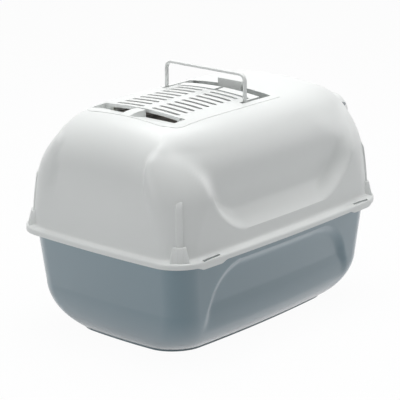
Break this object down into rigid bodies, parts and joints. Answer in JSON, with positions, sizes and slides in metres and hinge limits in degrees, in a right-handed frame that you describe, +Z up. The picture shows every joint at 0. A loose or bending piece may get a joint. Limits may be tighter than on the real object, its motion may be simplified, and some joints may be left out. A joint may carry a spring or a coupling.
{
  "type": "hooded litter box",
  "caption": "Hooded litter box: deep pan, lift-off hood with swing door in one end, folding carrying handle and a slotted filter cover in the roof",
  "frame": {"origin": "centre of the bounding box's bottom face, on the surface the pan stands on", "axes": "+Z up, +Y along the length toward the end without the door, +X across the width"},
  "size_m": [0.39, 0.568, 0.432],
  "materials": {
    "tray_plastic": "satin moulded polypropylene, blue-grey",
    "hood_plastic": "satin moulded polypropylene, white",
    "filter_foam": "black activated-carbon fibre pad",
    "tab_film": "thin yellow-green tab on the pad",
    "door_plastic": "smoke-grey translucent moulding"
  },
  "bodies": {
    "pan": {"tray": "tray_plastic"},
    "hood": {"hood": "hood_plastic", "filter_pad": "filter_foam", "filter_tab": "tab_film"},
    "handle": {"handle": "hood_plastic"},
    "filter_cover": {"filter_cover": "hood_plastic"},
    "door": {"door": "door_plastic"}
  },
  "joints": [
    {"name": "hood_lift", "type": "slide", "parent": "pan", "child": "hood", "axis": [0, 0, 1], "range_m": [0, 0.26]},
    {"name": "handle_fold", "type": "hinge", "parent": "hood", "child": "handle", "pos_m": [0, -0.002, 0.372], "axis": [1, 0, 0], "range_deg": [0, 90]},
    {"name": "cover_open", "type": "hinge", "parent": "hood", "child": "filter_cover", "pos_m": [0, -0.014, 0.37876], "axis": [1, 0, 0], "range_deg": [0, 50]},
    {"name": "door_swing", "type": "hinge", "parent": "hood", "child": "door", "pos_m": [0, -0.266, 0.334], "axis": [1, 0, 0], "range_deg": [-80, 80]}
  ]
}
